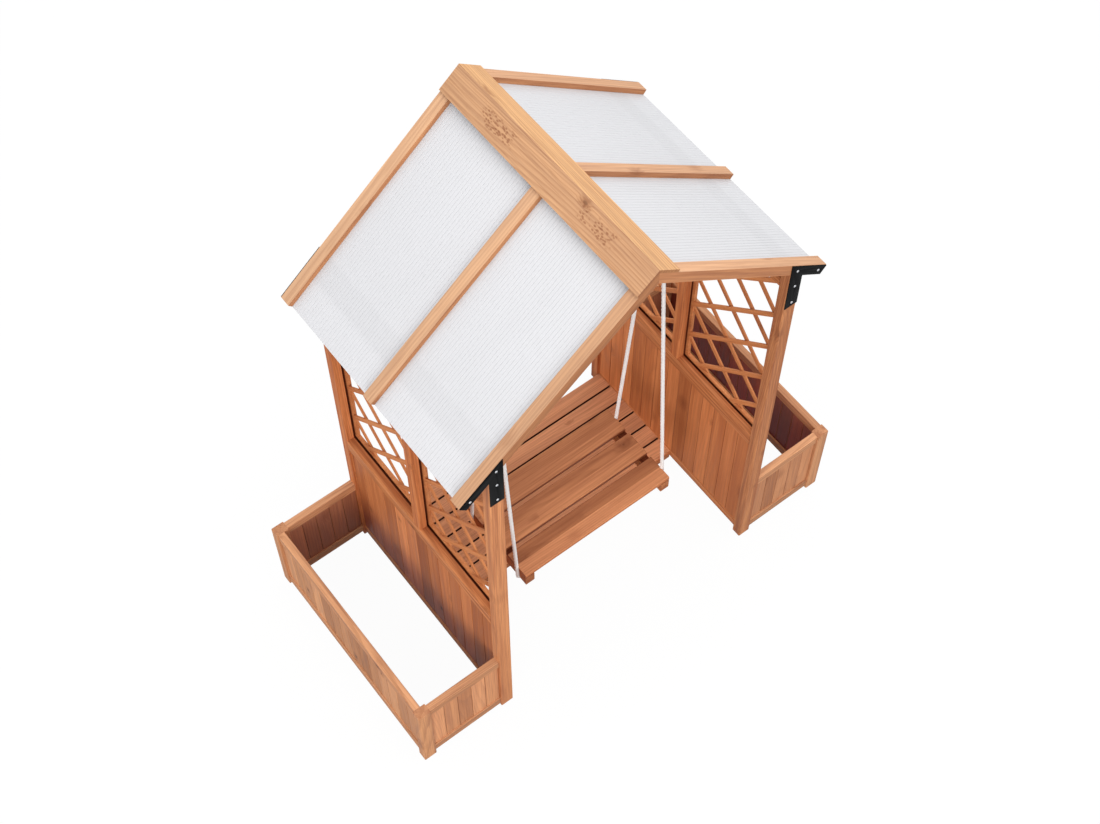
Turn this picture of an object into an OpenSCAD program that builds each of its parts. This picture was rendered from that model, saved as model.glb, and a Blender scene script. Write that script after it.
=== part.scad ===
// Garden swing seat hung between two planters, under a pitched roof of fluted panels.
// Millimetres, +Z up. The origin lies on the floor, midway between the two side walls
// and midway between the front and rear faces. The front faces -Y.

/* [Frame] */
// Clear width between the two side walls
bay_w = 1073; // [900:1:1400]
// Depth of the frame from the front faces of its posts to the rear faces
depth = 910; // [780:1:1200]
// Width of a post, across the bay
post_w = 50; // [40:1:80]
// Depth of a post, front to back
post_d = 38; // [30:1:60]
// Chamfer on the long edges of posts and rails
edge = 2; // [0.5:0.5:4]

/* [Side walls] */
// Height of the top of the boarded part of a wall
wall_h = 710; // [500:1:900]
// Height of a wall's top rail
rail_h = 60; // [40:1:90]
// Height of the top of a bottom rail
low_rail_top = 58; // [40:1:100]
// Gap between the floor and the underside of a bottom rail
low_rail_gap = 16; // [5:1:30]
// Setback of a wall's bottom rail from the posts' left faces
low_rail_back = 8; // [0:1:9]
// Setback of a wall's boards from the posts' left faces
board_back = 10; // [9:1:20]
// Thickness of a vertical board
board_t = 15; // [10:1:22]
// Number of boards in a side wall
wall_board_n = 13; // [8:1:20]
// Gap left between neighbouring boards
board_gap = 0.4; // [0.2:0.1:1]

/* [Trellis] */
// Distance from the posts' left faces to the open groove beside the trellis
groove_at = 29; // [20:1:32]
// Depth of that groove
groove_deep = 12; // [4:1:16]
// Thickness of the trellis frame, which holds both layers of slats
trellis_t = 13; // [8:1:16]
// Width of the trellis frame's strips
trellis_edge = 12; // [8:1:30]
// Width of a diagonal slat
lath_w = 17; // [10:1:35]
// Spacing of the diagonal slats, square to their length
lath_pitch = 132.2; // [60:0.1:200]
// Offset of the slats that rise toward the front, down the wall
rise_shift = 31; // [0:1:90]
// Offset of the slats that fall toward the front, down the wall
fall_shift = 93; // [0:1:120]
// Distance from the rafters' undersides down to the top plates, at a wall's outer face
plate_drop = 20; // [10:1:80]
// Height of a top plate
plate_h = 38; // [34:1:75]

/* [Planters] */
// How far a planter stands out beyond the side wall
planter_w = 339; // [200:1:500]
// Height of a planter
planter_h = 387; // [250:1:550]
// Height of a planter's top rails
planter_rail_h = 44; // [30:1:90]
// Thickness of a planter's rails
planter_rail_t = 27; // [20:1:36]
// Setback of a planter's rails from the outer faces of its posts
planter_back = 5; // [0:1:10]
// Setback of a planter's boards from the outer faces of its rails
planter_board_back = 6; // [2:1:10]
// Number of boards in a planter's long side
long_board_n = 14; // [8:1:20]
// Number of boards in a planter's end
end_board_n = 5; // [3:1:8]

/* [Roof] */
// Distance from the ridge line to the top corner of a rafter's end
eave_half = 693; // [600:1:900]
// Height of the top corner of a rafter's end
eave_h = 1649; // [1500:1:1900]
// Pitch of the roof in degrees
roof_pitch = 38.7; // [30:0.1:50]
// Thickness of a rafter, front to back
rafter_t = 40; // [30:1:60]
// Depth of a rafter, square to the slope
rafter_d = 38; // [34:1:60]
// Thickness of a roof panel
panel_t = 6; // [4:0.5:10]
// How far a panel's top lies under the top of the rafters
panel_drop = 19.5; // [12:0.5:24]
// How far a panel's edge reaches into a rafter
panel_bite = 6; // [3:0.5:12]
// Width of a ridge board, down the slope
cap_w = 96; // [60:1:150]
// Thickness of a ridge board
cap_t = 10; // [6:1:25]

/* [Brackets] */
// Thickness of the flat corner plates
plate_t = 3; // [2:0.5:5]
// Width of a plate's arm along the rafter
arm_w = 36; // [24:1:38]
// Distance from the top of the rafter at the wall's outer face to the leg's lower end
leg_drop = 191; // [140:1:260]
// Diameter of a screw's shank
screw_d = 4; // [3:0.5:6]
// Diameter of a screw's head
screw_head_d = 9; // [7:0.5:12]
// Diameter of the flat top of a screw's head
screw_flat_d = 6; // [4:0.5:7]
// Height of a screw's head
screw_head_h = 2; // [1:0.5:4]
// Length of a screw under its head
screw_len = 24; // [16:1:28]
// Distance of the outer rafter screw from the rafter's end
tip_screw = 33; // [20:1:90]
// Distance from the leg's lower end to its lower screw
foot_screw = 21; // [10:1:40]
// Distance between the leg's two screws
leg_screws = 87; // [40:1:100]

/* [Deck] */
// Height of the top of the deck
deck_h = 50; // [40:1:90]
// Number of deck boards
deck_n = 6; // [3:1:10]
// Width of a deck board
deck_board_w = 70; // [50:1:100]
// Gap between deck boards
deck_gap = 5; // [2:1:10]
// Width of a deck joist
joist_w = 40; // [25:1:60]

/* [Swing] */
// Height of the seat's top
seat_h = 420; // [380:1:480]
// Width of the seat
seat_w = 650; // [500:1:850]
// Width of a seat board, front to back
seat_board_w = 107; // [80:1:130]
// Gap between seat boards
seat_gap = 20; // [5:1:30]
// Thickness of seat and deck boards
slat_t = 18; // [12:1:25]
// Chamfer on the long edges of seat and deck boards
slat_edge = 2.5; // [0.5:0.5:4]
// Width of a seat bearer
bearer_w = 38; // [20:1:50]
// Height of a seat bearer
bearer_h = 52; // [25:1:60]
// Diameter of the rope
rope_d = 14; // [8:1:16]
// Depth of the rope's bed in the bearers
rope_bed = 3; // [1:0.5:4]
// Distance between the front and rear runs of the rope at the bearers
rope_span = 277; // [200:1:320]
// Bend radius of the rope's centre line under the bearers
rope_bend = 15; // [12:1:30]
// Clearance between the rope and the bar
rope_clear = 0.5; // [0.4:0.1:2]
// Distance from the frame's front face to the axis of the swing
bar_back = 376; // [250:1:420]
// Height of the bar's axis, the axis of the swing, over the top plates
bar_rise = 12.4; // [0:0.1:20]
// Diameter of the bar that the rope hangs on
bar_d = 60; // [40:1:64]
// How far the bar reaches over each top plate
bar_seat = 28; // [20:1:40]

/* [Hidden] */
$fn = 48;
// Clearance of pieces that lie in a groove or a bed
fit_gap = 0.3;
// How far a cutter reaches past the face it leaves
past = 1;
// Number of seat boards, each a piece of its own
seat_n = 3;
// Sides of the rope's tube, and its steps in a bend under the seat and over the bar
rope_sides = 12;
bend_steps = 4;
over_steps = 16;

front = -depth / 2;
rear = depth / 2;
wall_in = bay_w / 2;
wall_out = wall_in + post_w;
post_front = front + post_d;
post_rear = rear - post_d;
low_rail_h = low_rail_top - low_rail_gap;
groove_w = post_w - groove_at - trellis_t;
bay_d = (depth - 3 * post_d) / 2;

planter_out = wall_out + planter_w;
planter_rail_out = planter_out - planter_back;
planter_rail_in = planter_rail_out - planter_rail_t;
planter_post_in = planter_out - post_w;

slope_cos = cos(roof_pitch);
slope_sin = sin(roof_pitch);
plate_top = roof_at(wall_out, rafter_d) - plate_drop;
plate_low = plate_top - plate_h;
leg_low = roof_at(wall_out) - leg_drop;
panel_end_gap = 8;
bracket_margin = 1;
pilot_d = screw_d + 2 * fit_gap;

seat_d = seat_n * seat_board_w + (seat_n - 1) * seat_gap;
bearer_top = seat_h - slat_t;
bearer_low = bearer_top - bearer_h;
bar_y = front + bar_back;
bar_z = plate_top + bar_rise;
bar_len = bay_w + 2 * bar_seat;
rope_r = rope_d / 2;
loop_r = bar_d / 2 + rope_clear + rope_r;
rope_x = seat_w / 2 + rope_r - rope_bed;
foot_z = bearer_low - rope_r + rope_bed;
foot_reach = norm([rope_span / 2, bar_z - foot_z]);
rope_drop = sqrt(foot_reach * foot_reach - loop_r * loop_r);
rope_lean = atan(rope_span / 2 / (bar_z - foot_z)) - asin(loop_r / foot_reach);

deck_front = post_rear - deck_n * deck_board_w - (deck_n - 1) * deck_gap;
deck_left = -wall_in;
deck_right = wall_in + low_rail_back;

wood = [0.72, 0.45, 0.27];
wood_light = [0.83, 0.60, 0.40];
clear = [0.88, 0.89, 0.90];
black = [0.12, 0.13, 0.13];
steel = [0.85, 0.85, 0.84];
white = [0.90, 0.88, 0.85];

// Height of the right slope's top at x, and of a line under it
function roof_at(x, below = 0) = eave_h + (eave_half - x) * slope_sin / slope_cos - below / slope_cos;

// Point on the right slope: up the slope from the rafter's end, and down into it
function slope_point(up, down) = [
    eave_half - up * slope_cos - down * slope_sin,
    eave_h + up * slope_sin - down * slope_cos
];

// Outline of a rectangle with chamfered corners
function eased(w, h, e) = [
    [e, 0], [w - e, 0], [w, e], [w, h - e], [w - e, h], [e, h], [0, h - e], [0, e]
];

// Plain box between two corners
module box(a, b) {
    translate(a)
        cube(b - a);
}

// Sticks between two corners, with chamfered edges along X, Y or Z
module stick_x(a, b, e = edge) {
    translate(a)
        rotate([90, 0, 90])
            linear_extrude(b.x - a.x)
                polygon(eased(b.y - a.y, b.z - a.z, e));
}

module stick_y(a, b, e = edge) {
    translate([a.x, b.y, a.z])
        rotate([90, 0, 0])
            linear_extrude(b.y - a.y)
                polygon(eased(b.x - a.x, b.z - a.z, e));
}

module stick_z(a, b, e = edge) {
    translate(a)
        linear_extrude(b.z - a.z)
            polygon(eased(b.x - a.x, b.y - a.y, e));
}

// Prism along Y of an outline drawn in X and Z on the right, turned over for the left
module side_prism(side, outline, y0, y1) {
    translate([0, y1, 0])
        rotate([90, 0, 0])
            linear_extrude(y1 - y0)
                polygon([for (q = outline) [side * q.x, q.y]]);
}

// Everything below the undersides of the rafters
module under_rafters() {
    far = eave_half + post_w;
    translate([0, rear + past, 0])
        rotate([90, 0, 0])
            linear_extrude(depth + 2 * past)
                polygon([
                    [-far, -past], [-far, roof_at(far, rafter_d)], [0, roof_at(0, rafter_d)],
                    [far, roof_at(far, rafter_d)], [far, -past]
                ]);
}

// Moves to the left face of a side wall's posts: both walls are built alike, not mirrored
module at_wall(side) {
    translate([side > 0 ? wall_in : -wall_out, 0, 0])
        children();
}

// Centres of a corner plate's screws in the post, then in the rafter, on the right
leg_mid = wall_in + post_w / 2;
post_screws = [for (k = [0, 1]) [leg_mid, leg_low + foot_screw + k * leg_screws]];
rafter_screws = [
    [leg_mid, roof_at(leg_mid, rafter_d / 2)],
    slope_point(tip_screw, rafter_d / 2)
];

// Rods along Y at a list of places, from a front or rear face into the frame
module rods(side, end, places, d, deep) {
    for (q = places)
        translate([side * q.x, end * (rear + past), q.y])
            rotate([end * 90, 0, 0])
                cylinder(h = deep + past, d = d);
}

// Posts of the side walls, with the open groove for the trellis

module wall_groove(y0, y1, z0) {
    box([groove_at, y0, z0], [groove_at + groove_w, y1, plate_low]);
}

module end_post(side, end) {
    y0 = end < 0 ? front : post_rear;
    color(wood)
        difference() {
            intersection() {
                at_wall(side)
                    stick_z([0, y0, 0], [post_w, y0 + post_d, roof_at(wall_in)]);
                under_rafters();
            }
            at_wall(side)
                if (end < 0) wall_groove(post_front - groove_deep, post_front + past, wall_h);
                else wall_groove(post_rear - past, post_rear + groove_deep, wall_h);
            rods(side, end, post_screws, pilot_d, screw_len);
        }
}

module mid_post(side) {
    half = post_d / 2;
    color(wood)
        difference() {
            intersection() {
                at_wall(side)
                    stick_z([0, -half, wall_h], [post_w, half, roof_at(wall_in)]);
                under_rafters();
            }
            at_wall(side) {
                wall_groove(-half - past, groove_deep - half, wall_h - past);
                wall_groove(half - groove_deep, half + past, wall_h - past);
            }
        }
}

// Boarded lower part of a side wall

module wall_top_rail(side) {
    color(wood)
        at_wall(side)
            difference() {
                stick_y([0, post_front, wall_h - rail_h], [post_w, post_rear, wall_h]);
                box([groove_at, post_front - past, wall_h - groove_deep],
                    [groove_at + groove_w, post_rear + past, wall_h + past]);
            }
}

module wall_bottom_rail(side) {
    color(wood)
        at_wall(side)
            stick_y([low_rail_back, post_front, low_rail_gap], [post_w, post_rear, low_rail_top]);
}

// Row of boards standing side by side along Y
module boards_y(x0, y0, y1, z0, z1, n) {
    pitch = (y1 - y0) / n;
    for (k = [0 : n - 1])
        stick_z([x0, y0 + k * pitch + board_gap / 2, z0],
                [x0 + board_t, y0 + (k + 1) * pitch - board_gap / 2, z1]);
}

// Row of boards standing side by side along X
module boards_x(x0, x1, y0, z0, z1, n) {
    pitch = (x1 - x0) / n;
    for (k = [0 : n - 1])
        stick_z([x0 + k * pitch + board_gap / 2, y0, z0],
                [x0 + (k + 1) * pitch - board_gap / 2, y0 + board_t, z1]);
}

module wall_boards(side) {
    color(wood)
        at_wall(side)
            boards_y(board_back, post_front, post_rear, low_rail_top, wall_h - rail_h, wall_board_n);
}

// Trellis of two layers of diagonal slats in a frame of four strips

trellis_h = plate_low - wall_h;
in_edge = trellis_edge + fit_gap;
lath_step = lath_pitch * sqrt(2);
lath_least = lath_w + trellis_edge;
lath_low = 2 * trellis_edge + lath_least;
lath_high = bay_d + trellis_h - lath_low;
fall_low = 2 * trellis_edge - bay_d + lath_least;
fall_high = trellis_h - 2 * trellis_edge - lath_least;

// One layer, drawn with the wall's Y along x and its height along y
module lath_layer(rising) {
    shift = rising ? -rise_shift : -fall_shift;
    low = rising ? lath_low : fall_low;
    high = rising ? lath_high : fall_high;
    turns = ceil((bay_d + trellis_h) / lath_step);
    intersection() {
        translate([in_edge, in_edge])
            square([bay_d - 2 * in_edge, trellis_h - 2 * in_edge]);
        for (k = [-turns : turns])
            let (c = shift + k * lath_step)
                if (c > low && c < high)
                    translate([0, c])
                        rotate(rising ? -45 : 45)
                            square([4 * trellis_h, lath_w], center = true);
    }
}

module trellis(side, y0) {
    lath_t = trellis_t / 2;
    color(wood)
        at_wall(side)
            translate([post_w - trellis_t, y0, wall_h])
                rotate([90, 0, 90]) {
                    for (y = [0, bay_d - trellis_edge])
                        translate([y, 0, 0])
                            cube([trellis_edge, trellis_h, trellis_t]);
                    for (z = [0, trellis_h - trellis_edge])
                        translate([in_edge, z, 0])
                            cube([bay_d - 2 * in_edge, trellis_edge, trellis_t]);
                    linear_extrude(lath_t - board_gap / 2)
                        lath_layer(true);
                    translate([0, 0, lath_t + board_gap / 2])
                        linear_extrude(lath_t - board_gap / 2)
                            lath_layer(false);
                }
}

// Plates between the heads of the posts; the front pair has the notches that carry the bar
module top_plate(side, y0, notched) {
    color(wood)
        difference() {
            at_wall(side)
                stick_y([0, y0, plate_low], [post_w, y0 + bay_d, plate_top]);
            if (notched)
                translate([side * (wall_in - past), bar_y, bar_z])
                    rotate([0, side * 90, 0])
                        cylinder(h = post_w + 2 * past, d = bar_d + 2 * fit_gap);
        }
}

// Planters: the side wall closes the inner side of each

module planter_post(side, end) {
    y0 = end < 0 ? front : post_rear;
    x0 = side > 0 ? planter_post_in : -planter_out;
    color(wood)
        stick_z([x0, y0, 0], [x0 + post_w, y0 + post_d, planter_h]);
}

module planter_long_rails(side) {
    x0 = side > 0 ? planter_rail_in : -planter_rail_out;
    color(wood)
        for (z = [[planter_h - planter_rail_h, planter_h], [low_rail_gap, low_rail_top]])
            stick_y([x0, post_front, z[0]], [x0 + planter_rail_t, post_rear, z[1]]);
}

module planter_long_boards(side) {
    board_out = planter_rail_out - planter_board_back;
    x0 = side > 0 ? board_out - board_t : -board_out;
    color(wood)
        boards_y(x0, post_front, post_rear, low_rail_top, planter_h - planter_rail_h, long_board_n);
}

module planter_end_rails(side, end) {
    x0 = side > 0 ? wall_out : -planter_post_in;
    y0 = end < 0 ? front + planter_back : rear - planter_back - planter_rail_t;
    color(wood)
        for (z = [[planter_h - planter_rail_h, planter_h], [low_rail_gap, low_rail_top]])
            stick_x([x0, y0, z[0]], [x0 + planter_w - post_w, y0 + planter_rail_t, z[1]]);
}

module planter_end_boards(side, end) {
    x0 = side > 0 ? wall_out : -planter_post_in;
    inset = planter_back + planter_board_back;
    y0 = end < 0 ? front + inset : rear - inset - board_t;
    color(wood)
        boards_x(x0, x0 + planter_w - post_w, y0, low_rail_top, planter_h - planter_rail_h, end_board_n);
}

// Roof

// Strip of the right slope between two depths, cut square at the eave and upright at x_in
function slope_strip(d0, d1, x_in) = [
    slope_point(0, d0), slope_point(0, d1), [x_in, roof_at(x_in, d1)], [x_in, roof_at(x_in, d0)]
];

module rafter(side, y0, groove_front, groove_rear) {
    reach = panel_bite + fit_gap;
    slot = slope_strip(panel_drop - fit_gap, panel_drop + panel_t + fit_gap, -past);
    // The slot runs out at the eave
    long_slot = [
        slope_point(-past, panel_drop - fit_gap), slope_point(-past, panel_drop + panel_t + fit_gap),
        slot[2], slot[3]
    ];
    color(wood)
        difference() {
            side_prism(side, slope_strip(0, rafter_d, 0), y0, y0 + rafter_t);
            if (groove_front)
                side_prism(side, long_slot, y0 - past, y0 + reach);
            if (groove_rear)
                side_prism(side, long_slot, y0 + rafter_t - reach, y0 + rafter_t + past);
            if (!groove_front)
                rods(side, -1, rafter_screws, pilot_d, screw_len);
            if (!groove_rear)
                rods(side, 1, rafter_screws, pilot_d, screw_len);
        }
}

module roof_panel(side, y0, y1) {
    color(clear)
        side_prism(side, slope_strip(panel_drop, panel_drop + panel_t, panel_end_gap),
                   y0 - panel_bite, y1 + panel_bite);
}

module ridge_cap(side) {
    top_up = (eave_half + cap_t * slope_sin) / slope_cos;
    color(wood_light)
        side_prism(side, [
            slope_point(top_up - cap_w, -cap_t), slope_point(top_up - cap_w, 0),
            [0, roof_at(0)], [0, roof_at(0, -cap_t)]
        ], front, rear);
}

// Black corner plates and their screws

bracket_outline = [
    [wall_in, roof_at(wall_in, bracket_margin)],
    slope_point(bracket_margin, bracket_margin),
    slope_point(bracket_margin, bracket_margin + arm_w),
    [wall_out, roof_at(wall_out, bracket_margin + arm_w)],
    [wall_out, leg_low],
    [wall_in, leg_low]
];

module corner_brackets() {
    color(black)
        for (side = [-1, 1], end = [-1, 1])
            difference() {
                side_prism(side, bracket_outline, end < 0 ? front - plate_t : rear,
                           end < 0 ? front : rear + plate_t);
                translate([0, end * (plate_t + past), 0])
                    rods(side, end, concat(post_screws, rafter_screws), pilot_d, plate_t + 2 * past);
            }
}

module screw() {
    cylinder(h = screw_len, d = screw_d);
    translate([0, 0, -screw_head_h])
        cylinder(h = screw_head_h, d1 = screw_flat_d, d2 = screw_head_d);
}

module bracket_screws() {
    color(steel)
        for (side = [-1, 1], end = [-1, 1], q = concat(post_screws, rafter_screws))
            translate([side * q.x, end * (rear + plate_t), q.y])
                rotate([end * 90, 0, 0])
                    screw();
}

// Low deck behind the seat

module deck_slats() {
    pitch = deck_board_w + deck_gap;
    color(wood)
        for (k = [0 : deck_n - 1])
            stick_x([deck_left, deck_front + k * pitch, deck_h - slat_t],
                    [deck_right, deck_front + k * pitch + deck_board_w, deck_h], slat_edge);
}

module deck_joists() {
    middle = (deck_left + deck_right) / 2;
    color(wood)
        for (x0 = [deck_left, middle - joist_w / 2, deck_right - joist_w])
            stick_y([x0, deck_front + board_t, 0], [x0 + joist_w, post_rear, deck_h - slat_t]);
}

module deck_apron() {
    color(wood)
        stick_x([deck_left, deck_front, 0], [deck_right, deck_front + board_t, deck_h - slat_t]);
}

// Swing: a bar across the top plates, and a seat in an endless rope that hangs over it

module swing_bar() {
    color(wood)
        translate([-bar_len / 2, bar_y, bar_z])
            rotate([0, 90, 0])
                cylinder(h = bar_len, d = bar_d);
}

// Bed of the front or rear half of the rope, upright, with the bar's axis at the origin
module rope_half(r) {
    translate([0, loop_r, 0]) {
        for (side = [-1, 1])
            translate([side * rope_x, 0, rope_bend - rope_drop])
                cylinder(h = rope_drop - rope_bend, r = r);
        translate([rope_bend - rope_x, 0, -rope_drop])
            rotate([0, 90, 0])
                cylinder(h = 2 * (rope_x - rope_bend), r = r);
        for (turn = [[1, 270], [-1, 180]])
            translate([turn[0] * (rope_x - rope_bend), 0, rope_bend - rope_drop])
                rotate([90, 0, 0])
                    rotate([0, 0, turn[1]])
                        rotate_extrude(angle = 90)
                            translate([rope_bend, 0])
                                circle(r = r);
    }
}

module rope_beds() {
    translate([0, bar_y, bar_z])
        for (turn = [0, 180])
            rotate([0, 0, turn])
                rotate([rope_lean, 0, 0])
                    rope_half(rope_r + fit_gap);
}

// Way down along the rear run of the rope, or the front run, and the way square to it
function run_down(end) = [0, end * sin(rope_lean), -cos(rope_lean)];
function run_out(end, turn = rope_lean) = [0, end * cos(turn), sin(turn)];

// Ring of the rope's tube about a place, given the two directions across the tube
function ring(place, u, v) = [
    for (k = [0 : rope_sides - 1])
        let (a = (k + 0.5) * 360 / rope_sides)
            [0, bar_y, bar_z] + place + rope_r * (cos(a) * u + sin(a) * v)
];

// Rings of a bend under the seat: the first bend of a half turns 0 to 90, the second 90 to 180
function bend_rings(end, first) = [
    for (k = [0 : bend_steps])
        let (
            a = first + k * 90 / bend_steps,
            inward = [end * cos(a), 0, 0] - sin(a) * run_down(end),
            centre = [(first > 0 ? end : -end) * (rope_x - rope_bend), 0, 0]
                + loop_r * run_out(end) + (rope_drop - rope_bend) * run_down(end)
        )
            ring(centre - rope_bend * inward, run_out(end), inward)
];

// Rings of the turn over the bar that follows a half
function over_rings(end) = [
    for (k = [0 : over_steps])
        let (
            a = rope_lean + k * (180 - 2 * rope_lean) / over_steps,
            across = [end, 0, 0]
        )
            ring(rope_x * across + loop_r * run_out(end, a), run_out(end, a), -across)
];

module rope() {
    rings = [for (end = [1, -1]) each concat(bend_rings(end, 0), bend_rings(end, 90), over_rings(end))];
    count = len(rings);
    color(white)
        polyhedron(
            points = [for (q = rings) each q],
            faces = [
                for (i = [0 : count - 1], k = [0 : rope_sides - 1])
                    let (
                        here = i * rope_sides,
                        next = (i + 1) % count * rope_sides,
                        side = (k + 1) % rope_sides
                    )
                        [here + k, next + k, next + side, here + side]
            ]
        );
}

module seat_slat(k) {
    y0 = bar_y - seat_d / 2 + k * (seat_board_w + seat_gap);
    color(wood_light)
        difference() {
            stick_x([-seat_w / 2, y0, bearer_top], [seat_w / 2, y0 + seat_board_w, seat_h], slat_edge);
            rope_beds();
        }
}

module seat_bearer(side) {
    x0 = side > 0 ? seat_w / 2 - bearer_w : -seat_w / 2;
    color(wood)
        difference() {
            stick_y([x0, bar_y - seat_d / 2, bearer_low], [x0 + bearer_w, bar_y + seat_d / 2, bearer_top]);
            rope_beds();
        }
}

end_post(-1, -1);  // front_post_left
end_post(1, -1);  // front_post_right
mid_post(-1);  // mid_post_left
mid_post(1);  // mid_post_right
end_post(-1, 1);  // rear_post_left
end_post(1, 1);  // rear_post_right
wall_top_rail(-1);  // wall_top_rail_left
wall_top_rail(1);  // wall_top_rail_right
wall_bottom_rail(-1);  // wall_bottom_rail_left
wall_bottom_rail(1);  // wall_bottom_rail_right
wall_boards(-1);  // wall_boards_left
wall_boards(1);  // wall_boards_right
trellis(-1, post_front);  // trellis_front_left
trellis(1, post_front);  // trellis_front_right
trellis(-1, post_d / 2);  // trellis_rear_left
trellis(1, post_d / 2);  // trellis_rear_right
top_plate(-1, post_front, true);  // top_plate_front_left
top_plate(1, post_front, true);  // top_plate_front_right
top_plate(-1, post_d / 2, false);  // top_plate_rear_left
top_plate(1, post_d / 2, false);  // top_plate_rear_right
planter_post(-1, -1);  // planter_post_front_left
planter_post(1, -1);  // planter_post_front_right
planter_post(-1, 1);  // planter_post_rear_left
planter_post(1, 1);  // planter_post_rear_right
planter_long_rails(-1);  // planter_long_rails_left
planter_long_rails(1);  // planter_long_rails_right
planter_long_boards(-1);  // planter_long_boards_left
planter_long_boards(1);  // planter_long_boards_right
planter_end_rails(-1, -1);  // planter_front_rails_left
planter_end_rails(1, -1);  // planter_front_rails_right
planter_end_boards(-1, -1);  // planter_front_boards_left
planter_end_boards(1, -1);  // planter_front_boards_right
planter_end_rails(-1, 1);  // planter_rear_rails_left
planter_end_rails(1, 1);  // planter_rear_rails_right
planter_end_boards(-1, 1);  // planter_rear_boards_left
planter_end_boards(1, 1);  // planter_rear_boards_right
rafter(-1, front, false, true);  // rafter_front_left
rafter(1, front, false, true);  // rafter_front_right
rafter(-1, -rafter_t / 2, true, true);  // rafter_mid_left
rafter(1, -rafter_t / 2, true, true);  // rafter_mid_right
rafter(-1, rear - rafter_t, true, false);  // rafter_rear_left
rafter(1, rear - rafter_t, true, false);  // rafter_rear_right
roof_panel(-1, front + rafter_t, -rafter_t / 2);  // roof_panel_front_left
roof_panel(1, front + rafter_t, -rafter_t / 2);  // roof_panel_front_right
roof_panel(-1, rafter_t / 2, rear - rafter_t);  // roof_panel_rear_left
roof_panel(1, rafter_t / 2, rear - rafter_t);  // roof_panel_rear_right
ridge_cap(-1);  // ridge_cap_left
ridge_cap(1);  // ridge_cap_right
corner_brackets();
bracket_screws();
deck_slats();
deck_joists();
deck_apron();
swing_bar();
seat_slat(0);  // seat_slat_front
seat_slat(1);  // seat_slat_middle
seat_slat(2);  // seat_slat_rear
seat_bearer(-1);  // seat_bearer_left
seat_bearer(1);  // seat_bearer_right
rope();
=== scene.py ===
import math

import bmesh
import bpy
from mathutils import Matrix, Vector


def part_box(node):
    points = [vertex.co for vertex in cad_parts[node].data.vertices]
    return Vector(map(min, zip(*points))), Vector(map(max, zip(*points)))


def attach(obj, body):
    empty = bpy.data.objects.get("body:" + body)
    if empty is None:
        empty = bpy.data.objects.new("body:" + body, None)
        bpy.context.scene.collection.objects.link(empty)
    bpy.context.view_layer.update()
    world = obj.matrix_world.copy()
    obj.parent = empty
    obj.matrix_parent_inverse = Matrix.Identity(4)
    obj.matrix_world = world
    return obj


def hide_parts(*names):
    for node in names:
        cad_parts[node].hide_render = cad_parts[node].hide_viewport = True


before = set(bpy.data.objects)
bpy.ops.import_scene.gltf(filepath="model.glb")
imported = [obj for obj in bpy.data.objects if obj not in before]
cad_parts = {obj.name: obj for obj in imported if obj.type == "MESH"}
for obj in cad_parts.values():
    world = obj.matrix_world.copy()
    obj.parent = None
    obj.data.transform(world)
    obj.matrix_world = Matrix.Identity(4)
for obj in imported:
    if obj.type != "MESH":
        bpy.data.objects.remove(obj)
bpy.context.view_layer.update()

bl_info = {
    "name": "Garden Swing",
    "version": (1, 0, 0),
    "blender": (4, 5, 0),
    "location": "View3D > Sidebar > Garden Swing",
    "description": "Dresses a wooden garden swing with its roof sheets, rope, fittings and finishes",
    "category": "Object",
}

# Sizes that the pieces share with the solids, in metres
PITCH = math.radians(38.7)
SLOPE_C = math.cos(PITCH)
SLOPE_S = math.sin(PITCH)
DIAGONAL = math.sqrt(0.5)
DEPTH = 0.910
POST_WIDTH = 0.050
POST_DEPTH = 0.038
WALL_IN = 0.5365
WALL_OUT = 0.5865
WALL_BOARDS = 13
PLANTER_WIDTH = 0.339
LONG_BOARDS = 14
END_BOARDS = 5
DECK_BOARDS = 6
DECK_STEP = 0.075
DECK_GAP = 0.005
SEAT_BOARDS = 3
SEAT_STEP = 0.127
SEAT_GAP = 0.020
BEARER_TOP = 0.402

# The open groove beside a trellis: its middle on each side, and the bounds of the shade in it
GROOVE_LEFT = -0.5535
GROOVE_RIGHT = 0.5695
GROOVE_HALF = 0.0043
GROOVE_REACH = 0.430
GROOVE_LOW = 0.684
GROOVE_HIGH = 1.628

# The roof: the top corner of a rafter's end, and the sheets under the rafters' tops
EAVE = Vector((0.693, 0.0, 1.649))
RAFTER_DEPTH = 0.038
PANEL_DROP = 0.0195
PANEL_THICK = 0.006
PANEL_RUN = 0.857

# The corner plates: their thickness, their legs' lower end, and how their screws are spaced
PLATE_THICK = 0.003
LEG_LOW = 1.5433226
FOOT_SCREW = 0.021
LEG_SCREWS = 0.087
TIP_SCREW = 0.033

# The rope: its loop over the bar, and its bends under the seat, all along its middle
BAR_AXIS = Vector((0.0, -0.079, 1.67803))
ROPE_X = 0.329
LOOP_R = 0.0375
FOOT_Y = 0.1385
FOOT_Z = 0.346
BEND_R = 0.015
FOOT_REACH = math.hypot(FOOT_Y, BAR_AXIS.z - FOOT_Z)
ROPE_LEAN = math.atan2(FOOT_Y, BAR_AXIS.z - FOOT_Z) - math.asin(LOOP_R / FOOT_REACH)
RUN_STEP = 0.003
BEND_STEPS = 8
LOOP_STEPS = 36
ROPE_SIDES = 18
STRANDS = 3

# The camera that took the photograph
CAMERA_PLACE = (-1.93578, -2.49326, 6.19886)
CAMERA_RIGHT = Vector((0.793363, -0.608748, 0.000481))
CAMERA_UP = Vector((0.523651, 0.682861, 0.509402))
CAMERA_LENS = 59.62

# Factors on the wood's colour: in shade, and how far its dullest and freshest boards lie from it
SHADE_TINT = (0.30, 0.18, 0.16)
DULL_FALLS = (0.30, 0.37, 0.42)
FRESH_RISES = (0.26, 0.30, 0.28)

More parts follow.
